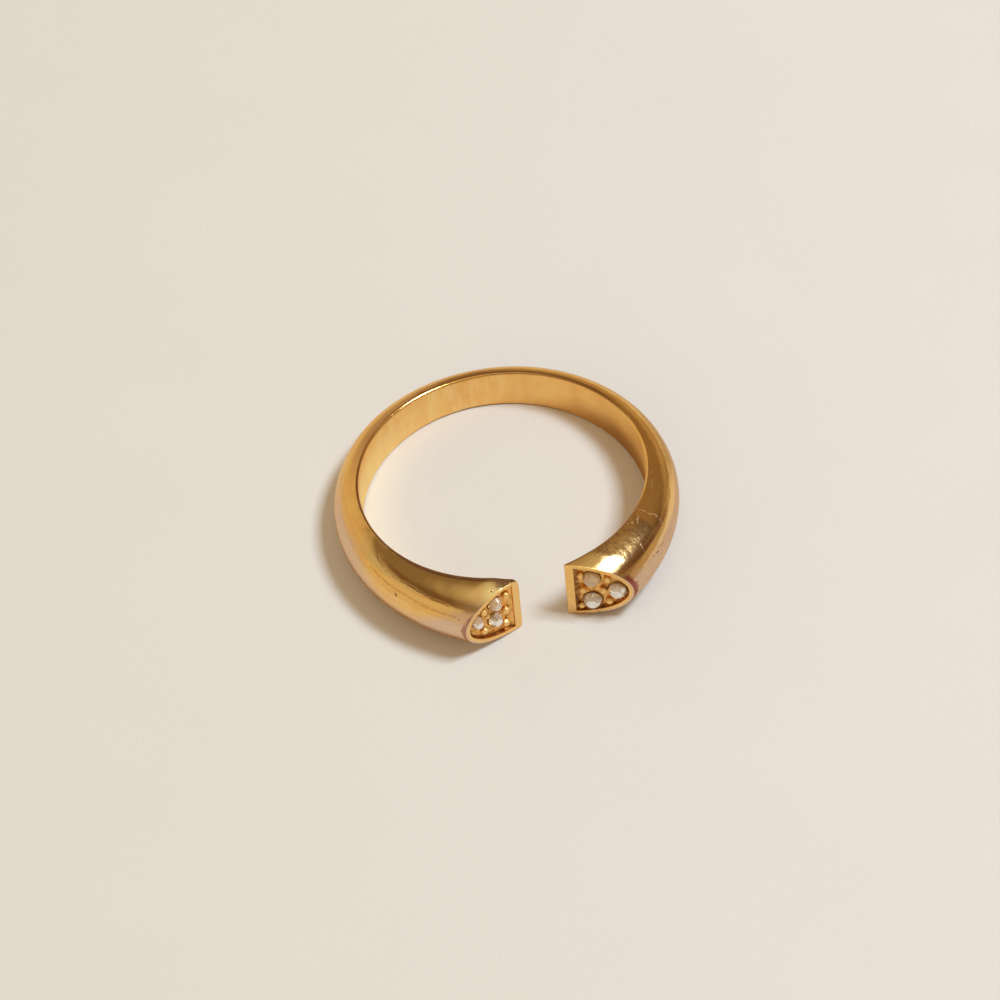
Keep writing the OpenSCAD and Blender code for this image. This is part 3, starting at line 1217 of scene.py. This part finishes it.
def gold_colour(tree, at, on, noises, wear):
    """The gilding under its layers of wear and of painted light and shade, each a mask, its share, and the
    colour that it gives.
    """
    deep = smooth(tree, total(tree, (noises.cloud, 0.5), (noises.streaks, 0.5)), 0.35, 0.65)
    colour = mixed(tree, deep, GILT, GILT_DEEP)
    fibres = smooth(tree, stretched_noise(tree, at.surface, 0.7, 11.0), 0.48, 0.68)
    threads = smooth(tree, stretched_noise(tree, at.surface, 0.5, 9.0, 1.3), 0.54, 0.70)
    stripe = painted_stripe_mask(tree, at)
    upright = scaled(tree, at.place, (1.0, 1.0, 0.3))
    stains = smooth(tree, noise_node(tree, upright, 1.6, 4.0, 0.6), 0.44, 0.66)
    # painted shade: the right inner wall darker towards its foot
    right_wall_shade = product(tree, on.wall, smooth(tree, at.turn, 35, 70), smooth(tree, at.z, 0.7, -0.9))
    layers = [
        (product(tree, fibres, on.arms, smooth(tree, at.around, 40, 50)), 0.35, PALE_WORN),
        (product(tree, threads, on.arms, smooth(tree, at.around, 34, 44)), 0.25, FILM_AND_SHADE),
        (film_mask(tree, at, on, noises, stripe), 0.95, FILM_AND_SHADE),
        # painted reflection: a brighter amber stripe on the right arm
        (product(tree, stripe, on.outside), 0.45, GRAIN_GOLD),
        (slope_mask(tree, at, on), 0.65, OLIVE),
        # painted shade on the dark side of the left slope's border
        (border_shade_mask(tree, at, on), 0.7, FILM_AND_SHADE),
        (patch(tree, at, on, "right border"), 0.55, ARRIS),
        # painted highlight near the left tip
        (patch(tree, at, on, "painted highlight on the left tip"), 0.7, WALL_PALE),
        # painted glint along the left arm
        (patch(tree, at, on, "left glint"), 0.6, GRAIN_GOLD),
        (product(tree, wear.pale, total(tree, (noises.streaks, 0.9), 0.35)), 1.0, PALE_WORN),
        # painted dark reflection along the upper inner edge
        (arris_shade_mask(tree, at, on, noises), 0.85, ARRIS),
        (patch(tree, at, on, "film on the back"), 0.6, ARRIS),
        (wear.crease, 0.3, DIRT_AND_SHADE),
        # painted light: the left inner wall paler
        (wear.left_wall, 0.7, WALL_PALE),
        (product(tree, on.wall, stains, smooth(tree, at.turn, 50, 0)), 0.28, WALL_PALE),
        # painted shade: the right inner wall darker towards its foot
        (right_wall_shade, 0.8, FILM_AND_SHADE),
        (product(tree, on.face, on.left_arm), 0.5, GRAIN_GOLD),
        (product(tree, on.face, smooth(tree, at.oval, 0.955, 0.985)), 0.8, PALE_WORN),
        (wear.tarnish, 1.0, TARNISH),
        (on.sunk, 0.9, POCKET_GOLD),
        # dirt, and painted shade along the pockets' walls
        (dirt_and_shade_mask(tree, at, on, noises), 1.0, DIRT_AND_SHADE),
        (on.grains, 1.0, GRAIN_GOLD),
        (wear.dull, 0.75, DULL),
        (product(tree, wear.rough, smooth(tree, noises.brushed, 0.53, 0.43)), 0.5, ARRIS),
        (wear.scratch, 0.45, SCRATCHED),
        (wear.specks, 1.0, DIRT_AND_SHADE),
    ]
    for mask, share, tint in layers:
        colour = mixed(tree, product(tree, mask, share), colour, tint)
    return colour


def gold_roughness(tree, on, noises, wear):
    return total(
        tree,
        0.12,
        (smooth(tree, noises.mottle, 0.3, 0.8), 0.07),
        (wear.pale, 0.12),
        (on.wall, 0.28),
        (wear.left_wall, 0.16),
        (on.face, 0.14),
        (on.pocket, 0.26),
        (wear.tarnish, 0.15),
        (wear.rough, 0.05),
        (wear.scratch, 0.22),
        (wear.specks, 0.3),
    )


def gold_height(tree, on, noises, wear):
    """The metal's small unevenness, in millimetres."""
    return total(
        tree,
        (noises.dents, 0.026),
        (product(tree, noises.streaks, on.outside), 0.003),
        (noises.grit, 0.0004),
        (product(tree, noises.upright, on.wall), 0.003),
        (product(tree, noises.mottle, on.pocket), 0.012),
        (product(tree, noises.brushed, wear.rough), 0.028),
        (wear.scratch, -0.002),
        (wear.crease, -0.004),
        (wear.specks, -0.02),
    )


def make_gold():
    material, tree, shader = new_material("gold")
    at = gold_places(tree)
    on = gold_parts(tree, at)
    noises = gold_noises(tree, at)
    wear = gold_wear(tree, at, on, noises)
    tree.links.new(gold_colour(tree, at, on, noises, wear), shader.inputs["Base Color"])
    tree.links.new(gold_roughness(tree, on, noises, wear), shader.inputs["Roughness"])
    shader.inputs["Metallic"].default_value = 1
    shader.inputs["Specular Tint"].default_value = METAL_EDGE
    bumped(tree, shader, gold_height(tree, on, noises, wear))
    return material


# The stones

STONE_WHITE = rgb(1.0, 0.97, 0.93)
STONE_WARM = rgb(0.92, 0.74, 0.54)
STONE_TAN = rgb(0.93, 0.62, 0.34)
# Facets that face the same way to within this step share one tone
FACET_STEP = (0.02, 0.02, 0.02)


def make_stone_material():
    """Small old stones: some facets shine like mirrors, others let the metal show, and those that face
    downward are painted paler, as glints.
    """
    material, tree, shader = new_material("stone")
    place = ring_place(tree)
    high = smooth(tree, separated(tree, place)[2], 0.2, 0.9)
    facet = add(tree, "NewGeometry", {}).outputs["True Normal"]
    level = separated(tree, facet)[2]
    facet = vector_node(tree, "SNAP", facet, FACET_STEP)
    tone = add(tree, "TexWhiteNoise", {"Vector": facet}, noise_dimensions="3D").outputs[0]
    cloud = noise_node(tree, place, 2.6, 3.0, 0.6)
    # facets that face downward are painted paler, as glints
    bright = total(tree, (tone, 0.8), (cloud, 0.4), (level, -0.2), (high, -0.42))
    bright = smooth(tree, bright, 0.25, 0.75)
    clear = mixed(tree, high, STONE_WARM, STONE_TAN)
    tree.links.new(mixed(tree, bright, clear, STONE_WHITE), shader.inputs["Base Color"])
    tree.links.new(product(tree, bright, 0.8), shader.inputs["Metallic"])
    tree.links.new(total(tree, (cloud, 0.12), 0.03), shader.inputs["Roughness"])
    shader.inputs["IOR"].default_value = 2.2
    shader.inputs["Transmission Weight"].default_value = 0.4
    bumped(tree, shader, product(tree, noise_node(tree, place, 9.0, 2.0), 0.002))
    return material


bpy.context.scene.view_settings.view_transform = "Standard"
make_camera()
band = make_band()
band.data.materials.clear()
band.data.materials.append(make_gold())
stone_material = make_stone_material()
for side, names in STONES.items():
    for name in names:
        make_stone(side, name, stone_material)
make_floor()
make_lamp()
make_surround()
